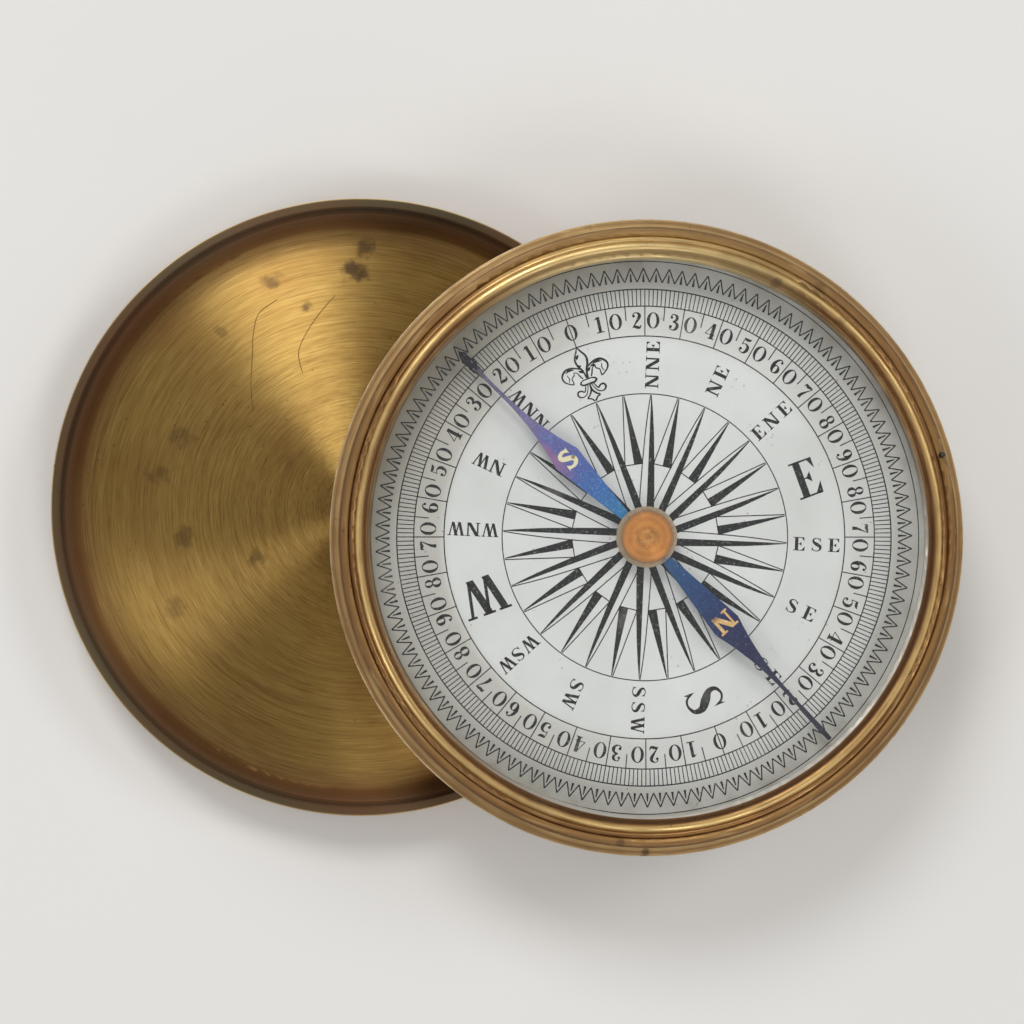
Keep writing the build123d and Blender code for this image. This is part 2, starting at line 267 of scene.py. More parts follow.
def lid_brass():
    shade = Shade("lid_brass_turned", lid_axis)
    bands = [
        (0.0, srgb(198, 163, 92)), (25.0, srgb(194, 157, 88)), (27.2, srgb(194, 155, 94)),
        (28.0, srgb(160, 120, 76)), (28.6, srgb(128, 98, 68)), (29.16, srgb(88, 74, 54)),
        (29.3, srgb(98, 88, 66)), (29.84, srgb(106, 96, 72)), (29.95, srgb(190, 154, 98)),
    ]
    stops = [(radius * MM, colour) for radius, colour in bands]
    colour = shade.ramp(shade.radius, stops, 0.0, 30.0 * MM)
    # Painted highlight: the top outer edge of the lid lightened to cream
    outer = shade.span(shade.radius, 29.84 * MM, 29.94 * MM)
    upper = shade.span(shade.height, 4.6 * MM, 4.9 * MM)
    colour = shade.mix(shade.math("MULTIPLY", outer, upper), colour, srgb(240, 220, 174))
    lathe = shade.streaks(1.3, 6500.0, 2.0)
    colour = shade.mix(shade.span(lathe, 0.42, 0.75, 0.0, 0.34), colour, srgb(130, 92, 50))
    short = shade.streaks(8.0, 9500.0, 3.0)
    on_floor = shade.span(shade.radius, 27.8 * MM, 27.0 * MM)
    dark_marks = shade.math("MULTIPLY", on_floor, shade.span(short, 0.5, 0.72, 0.0, 0.42))
    colour = shade.mix(dark_marks, colour, srgb(122, 86, 46))
    light_marks = shade.math("MULTIPLY", on_floor, shade.span(short, 0.46, 0.3, 0.0, 0.28))
    colour = shade.mix(light_marks, colour, srgb(236, 204, 132))
    wide = shade.streaks(1.6, 1300.0, 3.0)
    colour = shade.mix(shade.span(wide, 0.45, 0.7, 0.0, 0.16), colour, srgb(140, 98, 56))
    mottle = shade.span(shade.noise(110.0, 5.0), 0.45, 0.7, 0.0, 0.24)
    colour = shade.mix(mottle, colour, srgb(132, 84, 50))
    near_wall = shade.span(shade.radius, 25.5 * MM, 27.5 * MM, 0.0, 0.25)
    patchy = shade.span(shade.noise(70.0), 0.4, 0.6)
    colour = shade.mix(shade.math("MULTIPLY", near_wall, patchy), colour, srgb(124, 76, 50))
    crowded = shade.span(shade.noise(90.0, 2.0), 0.5, 0.6, 0.0, 0.4)
    dots = shade.math("MULTIPLY", shade.specks(800.0, 0.15), crowded)
    colour = shade.mix(dots, colour, srgb(96, 66, 44))
    for x, y, size, strength in lid_stains:
        colour = shade.stain(colour, srgb(84, 66, 52), x, y, size, strength)
    dull = shade.span(shade.radius, 27.2 * MM, 28.0 * MM, 0.0, 0.34)
    rough = shade.math("ADD", shade.span(lathe, 0.3, 0.7, 0.34, 0.42), dull)
    metal = shade.span(shade.radius, 28.2 * MM, 28.8 * MM, 1.0, 0.6)
    shade.set(Base_Color=colour, Metallic=metal, Roughness=rough)
    shade.bump(shade.math("ADD", shade.rings(3200.0, 5.0), lathe), 0.12, 0.00002)
    shade.lathe_sheen(0.95)
    return shade.material


def case_brass():
    shade = Shade("case_brass_worn", case_axis)
    # Bands across the profile: patina in grooves, painted highlight on bead crowns, painted shade at the
    # lip's edge
    bands = [
        (25.0, srgb(206, 162, 98)), (26.12, srgb(126, 112, 92)), (26.34, srgb(146, 130, 106)),
        (26.42, srgb(110, 88, 64)), (26.56, srgb(176, 132, 84)), (26.78, srgb(126, 90, 58)),
        (26.95, srgb(150, 112, 72)), (27.15, srgb(218, 182, 120)), (27.4, srgb(234, 202, 138)),
        (27.62, srgb(206, 168, 108)), (27.85, srgb(162, 124, 80)), (28.18, srgb(142, 108, 72)),
        (28.36, srgb(168, 132, 84)), (28.62, srgb(160, 124, 80)), (28.85, srgb(138, 106, 72)),
        (29.02, srgb(126, 96, 66)), (29.24, srgb(212, 182, 132)), (29.42, srgb(200, 168, 118)),
        (29.6, srgb(164, 130, 90)), (29.84, srgb(176, 144, 100)), (29.94, srgb(196, 158, 102)),
    ]
    stops = [(radius * MM, colour) for radius, colour in bands]
    colour = shade.ramp(shade.radius, stops, 25.0 * MM, 30.0 * MM)
    # Painted highlight: the top outer edge lightened to cream, less so on the shaded side
    outer = shade.span(shade.radius, 29.84 * MM, 29.94 * MM)
    upper = shade.span(shade.height, 14.0 * MM, 14.3 * MM)
    shaded_side_mask = shade.span(shade.toward(case_shade_side), 2.0 * MM, 20.0 * MM)
    edge = shade.math("MULTIPLY", outer, upper)
    painted_edge_highlight = shade.math("MULTIPLY", edge, shade.span(shaded_side_mask, 0.0, 1.0, 1.0, 0.4))
    colour = shade.mix(painted_edge_highlight, colour, srgb(240, 222, 182))
    drawn = shade.streaks(7.0, 6400.0, 4.0)
    colour = shade.mix(shade.span(drawn, 0.48, 0.72, 0.0, 0.45), colour, srgb(124, 86, 54))
    worn = shade.streaks(6.0, 2400.0, 4.0)
    colour = shade.mix(shade.span(worn, 0.54, 0.74, 0.0, 0.32), colour, srgb(236, 204, 146))
    mottle = shade.span(shade.noise(160.0, 5.0), 0.46, 0.7, 0.0, 0.32)
    colour = shade.mix(mottle, colour, srgb(138, 98, 62))
    crowded = shade.span(shade.noise(120.0), 0.45, 0.6, 0.0, 0.5)
    dots = shade.math("MULTIPLY", shade.specks(900.0, 0.16), crowded)
    colour = shade.mix(dots, colour, srgb(92, 60, 42))
    # Painted highlight: brass lightened on one side, standing in for a reflection of the sky
    highlight_side_mask = shade.span(shade.toward(case_highlight_side), 20.0 * MM, 27.0 * MM, 0.0, 0.45)
    painted_highlight = shade.math("MULTIPLY", highlight_side_mask, shade.span(shade.radius, 28.5 * MM, 28.1 * MM, 0.2, 1.0))
    colour = shade.mix(painted_highlight, colour, srgb(255, 228, 164))
    # Painted shade: the lip dark brown on one side; the same mask also makes the lip rougher there
    lip = shade.span(shade.radius, 26.95 * MM, 26.75 * MM, 0.0, 0.75)
    painted_shade_lip = shade.math("MULTIPLY", lip, shaded_side_mask)
    colour = shade.mix(painted_shade_lip, colour, srgb(94, 64, 42))
    # Painted reflection: a pale line at the lip's inner edge on the shaded side
    lip_reflection = shade.span(shade.radius, 26.5 * MM, 26.38 * MM, 0.0, 0.85)
    colour = shade.mix(shade.math("MULTIPLY", lip_reflection, shaded_side_mask), colour, srgb(206, 202, 192))
    clean = colour
    for radius, angle, size, strength in case_stains:
        colour = shade.stain(colour, srgb(84, 62, 52), *polar(radius, angle), size, strength)
    colour = shade.mix(shade.span(shade.height, 13.4 * MM, 14.0 * MM), clean, colour)
    neck_edge = shade.span(shade.radius, 28.1 * MM, 28.3 * MM, 0.0, 0.12)
    duller = shade.math("ADD", neck_edge, shade.math("MULTIPLY", painted_shade_lip, 0.2))
    rough = shade.math("ADD", shade.span(shade.noise(420.0, 4.0), 0.3, 0.7, 0.36, 0.52), duller)
    shade.set(Base_Color=colour, Metallic=1.0, Roughness=rough)
    shade.bump(shade.math("ADD", drawn, shade.noise(1800.0, 4.0)), 0.14, 0.00002)
    shade.lathe_sheen(0.3)
    return shade.material


def silvered_dial():
    shade = Shade("dial_silvered", case_axis)
    cloud = shade.noise(90.0, 6.0)
    colour = shade.ramp(cloud, [(0.3, srgb(222, 224, 220)), (0.7, srgb(235, 237, 234))])
    number_band = shade.span(shade.radius, 18.4 * MM, 20.0 * MM)
    yellowed = shade.span(shade.toward(yellow_side), 0.0, 22.0 * MM, 0.14, 0.46)
    colour = shade.mix(shade.math("MULTIPLY", number_band, yellowed), colour, srgb(150, 139, 112))
    # Painted shade: the margin and the edge by the bezel wall greyer, with noisy dust mixed in near the
    # edge
    painted_margin_shade = shade.span(shade.radius, 23.3 * MM, 24.3 * MM, 0.0, 0.3)
    colour = shade.mix(painted_margin_shade, colour, srgb(176, 170, 156))
    rim_dust_and_shade = shade.span(shade.radius, 23.5 * MM, 28.0 * MM, 0.0, 0.6)
    low_down = shade.span(shade.height, dial_top, dial_top + 0.5 * MM, 1.0, 0.4)
    dust = shade.math("MULTIPLY", low_down, shade.span(shade.noise(420.0, 6.0), 0.35, 0.75))
    dust_and_wall_shade = shade.math("MULTIPLY", rim_dust_and_shade, dust)
    colour = shade.mix(dust_and_wall_shade, colour, srgb(140, 126, 100))
    # Painted shade: the dial greyer toward the lip on one side, standing in for the lip's shadow
    painted_shade_tint = shade.span(shade.toward(dial_shade_side), 15.0 * MM, 26.0 * MM, 0.0, 0.55)
    colour = shade.mix(painted_shade_tint, colour, srgb(150, 138, 112))
    crowded = shade.span(shade.noise(200.0, 3.0), 0.5, 0.64, 0.0, 0.5)
    dots = shade.math("MULTIPLY", shade.specks(1300.0, 0.18), crowded)
    colour = shade.mix(dots, colour, srgb(110, 104, 92))
    rough = shade.span(shade.noise(500.0, 4.0), 0.3, 0.7, 0.45, 0.6)
    shade.set(Base_Color=colour, Metallic=0.15, Roughness=rough)
    shade.bump(shade.noise(3000.0, 4.0), 0.12, 0.00001)
    return shade.material


def dial_ink():
    shade = Shade("dial_ink", case_axis)
    worn = shade.span(shade.noise(3600.0, 3.0), 0.56, 0.7, 0.0, 0.7)
    colour = shade.mix(worn, srgb(6, 7, 10), srgb(124, 124, 120))
    faded = shade.span(shade.noise(170.0, 3.0), 0.58, 0.7, 0.0, 0.45)
    colour = shade.mix(faded, colour, srgb(120, 119, 112))
    rough = shade.span(shade.noise(600.0, 3.0), 0.3, 0.7, 0.5, 0.7)
    shade.set(Base_Color=colour, Metallic=0.0, Roughness=rough)
    shade.surface.inputs["Specular IOR Level"].default_value = 0.2
    return shade.material


def blued_steel():
    shade = Shade("needle_blued", case_axis)
    along = shade.toward(north_arm)
    stops = [
        (-24.5, srgb(44, 34, 34)), (-21.0, srgb(98, 86, 102)), (-16.0, srgb(130, 116, 160)),
        (-13.0, srgb(98, 106, 176)), (-9.0, srgb(84, 104, 180)), (-6.0, srgb(54, 112, 184)),
        (-3.0, srgb(42, 126, 180)), (3.0, srgb(36, 90, 136)), (6.5, srgb(24, 70, 126)),
        (11.0, srgb(22, 32, 94)), (15.0, srgb(27, 26, 72)), (20.0, srgb(44, 38, 62)),
        (26.0, srgb(42, 32, 40)),
    ]
    stops = [(place * MM, colour) for place, colour in stops]
    wander = shade.math("MULTIPLY", shade.math("SUBTRACT", shade.noise(260.0, 4.0), 0.5), 5.0 * MM)
    colour = shade.ramp(shade.math("ADD", along, wander), stops, -26.0 * MM, 26.0 * MM)
    crowded = shade.span(shade.noise(500.0), 0.5, 0.65, 0.0, 0.6)
    dots = shade.math("MULTIPLY", shade.specks(1700.0, 0.22), crowded)
    colour = shade.mix(dots, colour, srgb(110, 160, 220))
    grain = shade.span(shade.noise(6000.0, 2.0), 0.5, 0.72)
    glitter = shade.span(along, 4.0 * MM, -4.0 * MM, 0.13, 0.5)
    colour = shade.mix(shade.math("MULTIPLY", grain, glitter), colour, srgb(122, 176, 236))
    flank = shade.span(shade.toward(south_arm + 90.0), 0.1 * MM, 0.9 * MM, 0.1, 0.8)
    outward = shade.span(along, -7.0 * MM, -12.0 * MM)
    patchy = shade.span(shade.noise(420.0, 5.0), 0.35, 0.6)
    blush = shade.math("MULTIPLY", shade.math("MULTIPLY", flank, outward), patchy)
    colour = shade.mix(blush, colour, srgb(168, 116, 156))
    rough = shade.span(shade.noise(900.0, 4.0), 0.3, 0.7, 0.34, 0.48)
    shade.set(Base_Color=colour, Metallic=0.5, Roughness=rough)
    shade.bump(shade.noise(2500.0, 4.0), 0.15, 0.00001)
    return shade.material


def copper_cap():
    shade = Shade("cap_copper_turned", case_axis)
    stops = [
        (0.0, srgb(240, 160, 74)), (0.5, srgb(252, 180, 90)), (0.9, srgb(230, 146, 64)),
        (1.3, srgb(250, 172, 82)), (1.7, srgb(236, 150, 68)), (2.0, srgb(244, 166, 82)),
        (2.3, srgb(212, 140, 74)), (2.46, srgb(190, 146, 104)), (2.6, srgb(208, 184, 152)),
        (2.9, srgb(216, 194, 164)),
    ]
    stops = [(radius * MM, colour) for radius, colour in stops]
    colour = shade.ramp(shade.radius, stops, 0.0, 3.0 * MM)
    middle = shade.span(shade.radius, 1.6 * MM, 0.5 * MM, 0.0, 0.6)
    messy = shade.span(shade.noise(1500.0, 5.0), 0.4, 0.65)
    colour = shade.mix(shade.math("MULTIPLY", middle, messy), colour, srgb(164, 98, 44))
    # Painted highlight: bright glints in the middle of the cap
    painted_glint = shade.span(shade.noise(2600.0, 3.0), 0.54, 0.66)
    colour = shade.mix(shade.math("MULTIPLY", middle, painted_glint), colour, srgb(255, 214, 122))
    stain = shade.span(shade.noise(900.0, 5.0), 0.55, 0.75, 0.0, 0.35)
    colour = shade.mix(stain, colour, srgb(168, 98, 48))
    rough = shade.span(shade.noise(900.0, 3.0), 0.3, 0.7, 0.22, 0.36)
    shade.set(Base_Color=colour, Metallic=0.75, Roughness=rough)
    shade.bump(shade.math("ADD", shade.rings(5200.0), shade.noise(2200.0)), 0.3, 0.00002)
    shade.lathe_sheen(0.4)
    return shade.material


def plain_metal(name, light, dark, low_rough, high_rough):
    shade = Shade(name, case_axis)
    colour = shade.ramp(shade.noise(400.0, 5.0), [(0.3, dark), (0.7, light)])
    rough = shade.span(shade.noise(700.0, 3.0), 0.3, 0.7, low_rough, high_rough)
    shade.set(Base_Color=colour, Metallic=1.0, Roughness=rough)
    shade.bump(shade.noise(2500.0, 4.0), 0.15, 0.00002)
    return shade.material


def agate():
    shade = Shade("agate_banded", case_axis)
    bands = shade.rings(4000.0)
    colour = shade.ramp(bands, [(0.3, srgb(92, 48, 34)), (0.7, srgb(168, 112, 84))])
    shade.set(Base_Color=colour, Roughness=shade.span(bands, 0.3, 0.7, 0.1, 0.25))
    return shade.material


def window_glass():
    shade = Shade("glass_clear", case_axis)
    haze = shade.span(shade.noise(200.0, 5.0), 0.35, 0.75, 0.02, 0.06)
    colour = shade.ramp(shade.noise(120.0, 3.0), [(0.3, srgb(238, 242, 240)), (0.7, srgb(250, 251, 250))])
    shade.set(Base_Color=colour, Roughness=haze, Alpha=0.025)
    shade.surface.inputs["IOR"].default_value = 1.5
    return shade.material


def needle_gold():
    """Gilding, paler on the south arm. The letters' own coordinates start at the needle's axis."""
    shade = Shade("letter_gold")
    colour = shade.ramp(shade.noise(1200.0, 4.0), [(0.3, srgb(208, 160, 94)), (0.7, srgb(250, 214, 146))])
    pale = shade.span(shade.toward(south_arm), -1.0 * MM, 1.0 * MM, 0.0, 0.85)
    colour = shade.mix(pale, colour, srgb(255, 248, 206))
    for x, y, size in gilt_worn:
        colour = shade.stain(colour, srgb(110, 80, 56), x, y, size, 0.85)
    shade.set(Base_Color=colour, Metallic=0.3, Roughness=0.4)
    return shade.material


class Ink:
    """Flat strokes raised a hair above the surface that carries them."""

    def __init__(self):
        self.points = []
        self.faces = []

    def strip(self, left, right, closed=False):
        """A band between two lines of points, as a closed thin plate."""
        base = len(self.points)
        count = len(left)
        for level in (0.0, ink_height):
            for first, second in zip(left, right):
                self.points.append((first[0], first[1], level))
                self.points.append((second[0], second[1], level))
        lift = 2 * count
        for i in range(count if closed else count - 1):
            a = base + 2 * i
            b = base + 2 * ((i + 1) % count)
            self.faces.append((a + lift, a + 1 + lift, b + 1 + lift, b + lift))
            self.faces.append((a, b, b + 1, a + 1))
            self.faces.append((a, a + lift, b + lift, b))
            self.faces.append((a + 1, b + 1, b + 1 + lift, a + 1 + lift))
        if not closed:
            end = base + 2 * (count - 1)
            self.faces.append((base, base + 1, base + 1 + lift, base + lift))
            self.faces.append((end, end + lift, end + 1 + lift, end + 1))

    def circle(self, radius, width):
        steps = 720
        inner = [polar(radius - width / 2, 360.0 * i / steps) for i in range(steps)]
        outer = [polar(radius + width / 2, 360.0 * i / steps) for i in range(steps)]
        self.strip(inner, outer, closed=True)

    def line(self, start, end, width, end_width=None):
        along = Vector(end) - Vector(start)
        across = Vector((-along.y, along.x)).normalized()
        near = across * width / 2
        far = across * (width if end_width is None else end_width) / 2
        self.strip(
            [Vector(start) + near, Vector(end) + far],
            [Vector(start) - near, Vector(end) - far],
        )

    def glyph(self, strips, centre, right, up, height, middle):
        """Strips in letter units, set with the letter's middle at centre."""
        for strip in strips:
            lines = []
            for line in strip:
                lines.append([
                    Vector(centre) + right * ((x - middle) * height) + up * ((y - 0.5) * height)
                    for x, y in line
                ])
            self.strip(*lines)

    def piece(self, name, origin, height, body, paint):
        mesh = bpy.data.meshes.new(name)
        mesh.from_pydata([(x * MM, y * MM, z * MM) for x, y, z in self.points], [], self.faces)
        mesh.materials.append(paint)
        mesh.validate()
        made = bpy.data.objects.new(name, mesh)
        bpy.context.scene.collection.objects.link(made)
        made.location = (origin.x, origin.y, height)
        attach(made, body)


def polar(radius, angle):
    return Vector((radius * math.cos(math.radians(angle)), radius * math.sin(math.radians(angle))))


def bearing(radius, degrees):
    """A point on the dial, from its centre, at a bearing clockwise from north."""
    return polar(radius, north_angle - degrees)


def between(a, b, c, d, t):
    """A value from b to c on a smooth curve that also passes a and d."""
    bend = 2 * a - 5 * b + 4 * c - d
    twist = 3 * b - a - 3 * c + d
    return 0.5 * (2 * b + (c - a) * t + bend * t * t + twist * t ** 3)


def smooth(points):
    """A curve through the points and the numbers that go with them."""
    out = []
    last = len(points) - 1
    for i in range(last):
        near = (points[max(i - 1, 0)], points[i], points[i + 1], points[min(i + 2, last)])
        for k in range(curve_steps):
            t = k / curve_steps
            out.append(tuple(between(*values, t) for values in zip(*near)))
    out.append(tuple(points[last]))
    return out


def pen(*points):
    """A stroke of changing width through points given as x, y and width."""
    path = smooth(points)
    left = []
    right = []
    for i, (x, y, width) in enumerate(path):
        before = path[max(i - 1, 0)]
        after = path[min(i + 1, len(path) - 1)]
        along = Vector((after[0] - before[0], after[1] - before[1])).normalized()
        half = max(width * pen_weight, pen_least) / 2
        left.append((x - along.y * half, y + along.x * half))
        right.append((x + along.y * half, y - along.x * half))
    return left, right


def bowl(x, y, wide, tall, thick, thin, steps=28):
    """An oval band that is thick at its sides and thin at top and bottom."""
    outer = []
    inner = []
    for i in range(steps + 1):
        angle = math.radians(360.0 * i / steps)
        outer.append((x + wide * math.cos(angle), y + tall * math.sin(angle)))
        inner.append((x + (wide - thick) * math.cos(angle), y + (tall - thin) * math.sin(angle)))
    return outer, inner


def bar(x0, y0, x1, y1, width):
    """A slanted or upright stem with level ends."""
    half = width / 2
    return [(x0 - half, y0), (x1 - half, y1)], [(x0 + half, y0), (x1 + half, y1)]


def slab(x0, y0, x1, y1):
    """A level block between two corners."""
    return [(x0, y0), (x0, y1)], [(x1, y0), (x1, y1)]


def wedge(a, b, c):
    """A triangle."""
    return [a, a], [b, c]


def dot(x, y, size):
    """A round spot, drawn as a band that almost closes at its middle."""
    return bowl(x, y, size, size, size * 0.98, size * 0.98, steps=14)


def serif(x, y, half, up):
    """A thin level foot, drawn up from y, or a head, drawn down from it."""
    thick = 0.06 if up else -0.06
    return slab(x - half, y, x + half, y + thick)


def digit(figure):
    """Strips of a figure, one unit tall."""
    nought = [bowl(0.31, 0.5, 0.39, 0.5, 0.19, 0.045)]
    one = [
        bar(0.30, 0.0, 0.30, 0.98, 0.19), serif(0.30, 0.0, 0.24, True),
        wedge((0.21, 0.98), (0.04, 0.82), (0.21, 0.86)),
    ]
    two = [
        pen((0.09, 0.74, 0.05), (0.12, 0.90, 0.05), (0.29, 0.97, 0.05), (0.47, 0.86, 0.14),
            (0.47, 0.68, 0.17), (0.31, 0.42, 0.10), (0.06, 0.06, 0.03)),
        pen((0.05, 0.05, 0.03), (0.18, 0.11, 0.13), (0.36, 0.06, 0.15), (0.50, 0.06, 0.11),
            (0.58, 0.22, 0.02)),
        dot(0.13, 0.76, 0.085),
    ]
    three = [
        pen((0.08, 0.80, 0.04), (0.15, 0.94, 0.05), (0.29, 0.975, 0.05), (0.45, 0.86, 0.14),
            (0.43, 0.65, 0.13), (0.22, 0.53, 0.04)),
        pen((0.22, 0.53, 0.04), (0.46, 0.45, 0.12), (0.52, 0.25, 0.17), (0.41, 0.07, 0.11),
            (0.25, 0.02, 0.05), (0.09, 0.09, 0.05), (0.06, 0.24, 0.04)),
        dot(0.13, 0.78, 0.08), dot(0.12, 0.22, 0.09),
    ]
    four = [
        bar(0.02, 0.27, 0.41, 0.98, 0.06), slab(0.0, 0.25, 0.62, 0.295), bar(0.44, 0.0, 0.44, 0.98, 0.21),
        serif(0.44, 0.0, 0.19, True),
    ]
    five = [
        bar(0.09, 0.50, 0.12, 0.94, 0.05),
        pen((0.10, 0.91, 0.08), (0.26, 0.87, 0.14), (0.42, 0.90, 0.13), (0.53, 0.98, 0.02)),
        pen((0.09, 0.51, 0.03), (0.27, 0.60, 0.05), (0.47, 0.50, 0.14), (0.51, 0.28, 0.17),
            (0.41, 0.08, 0.11), (0.25, 0.02, 0.05), (0.09, 0.09, 0.05), (0.06, 0.24, 0.04)),
        dot(0.12, 0.22, 0.09),
    ]
    six = [
        pen((0.50, 0.86, 0.05), (0.37, 0.97, 0.05), (0.20, 0.86, 0.10), (0.09, 0.58, 0.16),
            (0.09, 0.34, 0.16), (0.18, 0.10, 0.10), (0.31, 0.02, 0.04)),
        bowl(0.32, 0.28, 0.29, 0.28, 0.19, 0.05), dot(0.47, 0.84, 0.08),
    ]
    seven = [
        pen((0.06, 0.76, 0.03), (0.10, 0.92, 0.10), (0.25, 0.88, 0.16), (0.42, 0.93, 0.12),
            (0.57, 0.94, 0.04)),
        pen((0.57, 0.95, 0.03), (0.40, 0.58, 0.07), (0.28, 0.28, 0.14), (0.26, 0.01, 0.18)),
    ]
    eight = [bowl(0.31, 0.75, 0.25, 0.25, 0.15, 0.045), bowl(0.31, 0.27, 0.31, 0.28, 0.19, 0.05)]
    nine = [tuple([(0.62 - x, 1.0 - y) for x, y in line] for line in strip) for strip in six]
    return (nought, one, two, three, four, five, six, seven, eight, nine)[figure]


def letter(name):
    """Strips and width of the capital E, N, S or W, one unit tall."""
    if name == "E":
        strips = [
            bar(0.20, 0.0, 0.20, 1.0, 0.19), slab(0.0, 0.0, 0.66, 0.05), slab(0.0, 0.95, 0.64, 1.0),
            wedge((0.64, 1.0), (0.64, 0.70), (0.50, 0.965)),
            wedge((0.66, 0.0), (0.68, 0.32), (0.48, 0.035)),
            slab(0.28, 0.485, 0.46, 0.52), wedge((0.34, 0.50), (0.48, 0.36), (0.48, 0.65)),
        ]
        return strips, 0.68
    if name == "N":
        strips = [
            bar(0.14, 0.0, 0.14, 1.0, 0.095), bar(0.74, 0.0, 0.74, 1.0, 0.095),
            bar(0.16, 1.0, 0.68, 0.0, 0.23),
            serif(0.14, 0.0, 0.14, True), serif(0.10, 1.0, 0.12, False), serif(0.74, 1.0, 0.14, False),
        ]
        return strips, 0.88
    if name == "S":
        strips = [
            pen((0.55, 0.78, 0.03), (0.47, 0.92, 0.05), (0.31, 0.975, 0.05), (0.14, 0.87, 0.08),
                (0.15, 0.68, 0.13), (0.34, 0.52, 0.20), (0.53, 0.36, 0.16), (0.54, 0.14, 0.09),
                (0.35, 0.02, 0.05), (0.17, 0.06, 0.05), (0.08, 0.22, 0.03)),
            wedge((0.57, 1.0), (0.58, 0.68), (0.50, 0.86)), wedge((0.05, 0.0), (0.05, 0.32), (0.13, 0.13)),
        ]
        return strips, 0.64
    strips = [
        bar(0.12, 1.0, 0.36, 0.0, 0.2), bar(0.38, 0.0, 0.58, 1.0, 0.085), bar(0.56, 1.0, 0.80, 0.0, 0.2),
        bar(0.83, 0.0, 1.04, 1.0, 0.085), serif(0.12, 1.0, 0.17, False), serif(0.57, 1.0, 0.17, False),
        serif(1.04, 1.0, 0.13, False),
    ]
    return strips, 1.17


def mark_degrees(paint):
    ink = Ink()
    circles = ((number_inner, 0.11), (degree_inner, 0.11), (degree_outer, 0.12), (border_radius, 0.09))
    five_length = 1.35
    for radius, width in circles:
        ink.circle(radius, width)
    for degree in range(360):
        ink.line(bearing(degree_inner, degree), bearing(degree_outer, degree), hairline * 0.9)
    for degree in range(0, 360, 5):
        inner = number_inner if degree % 10 == 0 else degree_inner - five_length
        ink.line(bearing(inner, degree), bearing(degree_inner, degree), hairline)
    ink.piece("dial_degree_ring", engraving_centre, dial_top, "case", paint)


def mark_numbers(paint):
    ink = Ink()
    height = 1.56
    radius = 20.75
    spread = 2.2
    middle = 0.31
    for line in range(0, 360, 10):
        count = line % 180
        number = count if count <= 90 else 180 - count
        figures = [(0, 0.0)] if number == 0 else [(number // 10, -spread), (0, spread)]
        for figure, shift in figures:
            place = line + shift
            up = bearing(1.0, place)
            right = Vector((up.y, -up.x))
            ink.glyph(digit(figure), up * radius, right, up, height, middle)
    ink.piece("dial_numbers", engraving_centre, dial_top, "case", paint)


def mark_labels(paint):
    ink = Ink()
    names = ("NNE", "NE", "ENE", "E", "ESE", "SE", "SSE", "S", "SSW", "SW", "WSW", "W", "WNW", "NW", "NNW")
    middle_radius = 16.5
    heights = {1: 3.6, 2: 1.3, 3: 1.28}
    spans = {1: 0.0, 2: 2.9, 3: 4.5}
    least_gap = 0.15
    broad = {"E": 1.3, "N": 1.2, "S": 1.25, "W": 1.05}
    for i, name in enumerate(names):
        out = bearing(1.0, 22.5 * (i + 1))
        up = Vector((-out.y, out.x))
        height = heights[len(name)]
        letters = []
        for sign in name:
            strips, width = letter(sign)
            stretch = broad[sign] if len(name) > 1 else 1.0
            letters.append((strips, width, stretch, width * stretch * height))
        solid = sum(length for strips, width, stretch, length in letters)
        gaps = len(name) - 1
        gap = max(least_gap, (spans[len(name)] - solid) / max(gaps, 1))
        along = middle_radius - (solid + gap * gaps) / 2
        for strips, width, stretch, length in letters:
            ink.glyph(strips, out * (along + length / 2), out * stretch, up, height, width / 2)
            along += length + gap
    ink.piece("dial_letters", engraving_centre, dial_top, "case", paint)


def mark_rose(paint):
    ink = Ink()
    ink.circle(star_radius, hairline)
    long_ray = ((2.6, 0.70), (4.0, 0.69), (7.0, 0.58), (9.8, 0.43), (12.0, 0.24), (13.6, 0.05))
    short_ray = ((7.0, 0.88), (13.6, 0.08))
    for i in range(32):
        out = bearing(1.0, 11.25 * i)
        clockwise = Vector((out.y, -out.x))
        profile = short_ray if i % 2 else long_ray
        ink.strip(
            [out * radius for radius, half in profile],
            [out * radius + clockwise * half for radius, half in profile],
        )
        ink.strip(
            [out * radius - clockwise * (half + hairline / 2) for radius, half in profile],
            [out * radius - clockwise * (half - hairline / 2) for radius, half in profile],
        )
        if i % 2:
            start, half = short_ray[0]
            ink.line(out * start - clockwise * half, out * start + clockwise * half, hairline)
    ink.piece("dial_rose", engraving_centre, dial_top, "case", paint)


def mark_zigzag(paint):
    ink = Ink()
    pitch = 360.0 / zigzag_teeth
    stroke = 0.125
    dash_length = 0.80
    dash_foot = 0.24
    dash_tip = 0.10
    for i in range(zigzag_teeth):
        place = pitch * i
        apex = bearing(zigzag_outer, place)
        ink.line(bearing(zigzag_inner, place - pitch / 2), apex, stroke)
        ink.line(bearing(zigzag_inner, place + pitch / 2), apex, stroke)
        dash_end = bearing(zigzag_inner + dash_length, place)
        ink.line(bearing(zigzag_inner, place), dash_end, dash_foot, dash_tip)
    ink.piece("dial_zigzag", engraving_centre, dial_top, "case", paint)


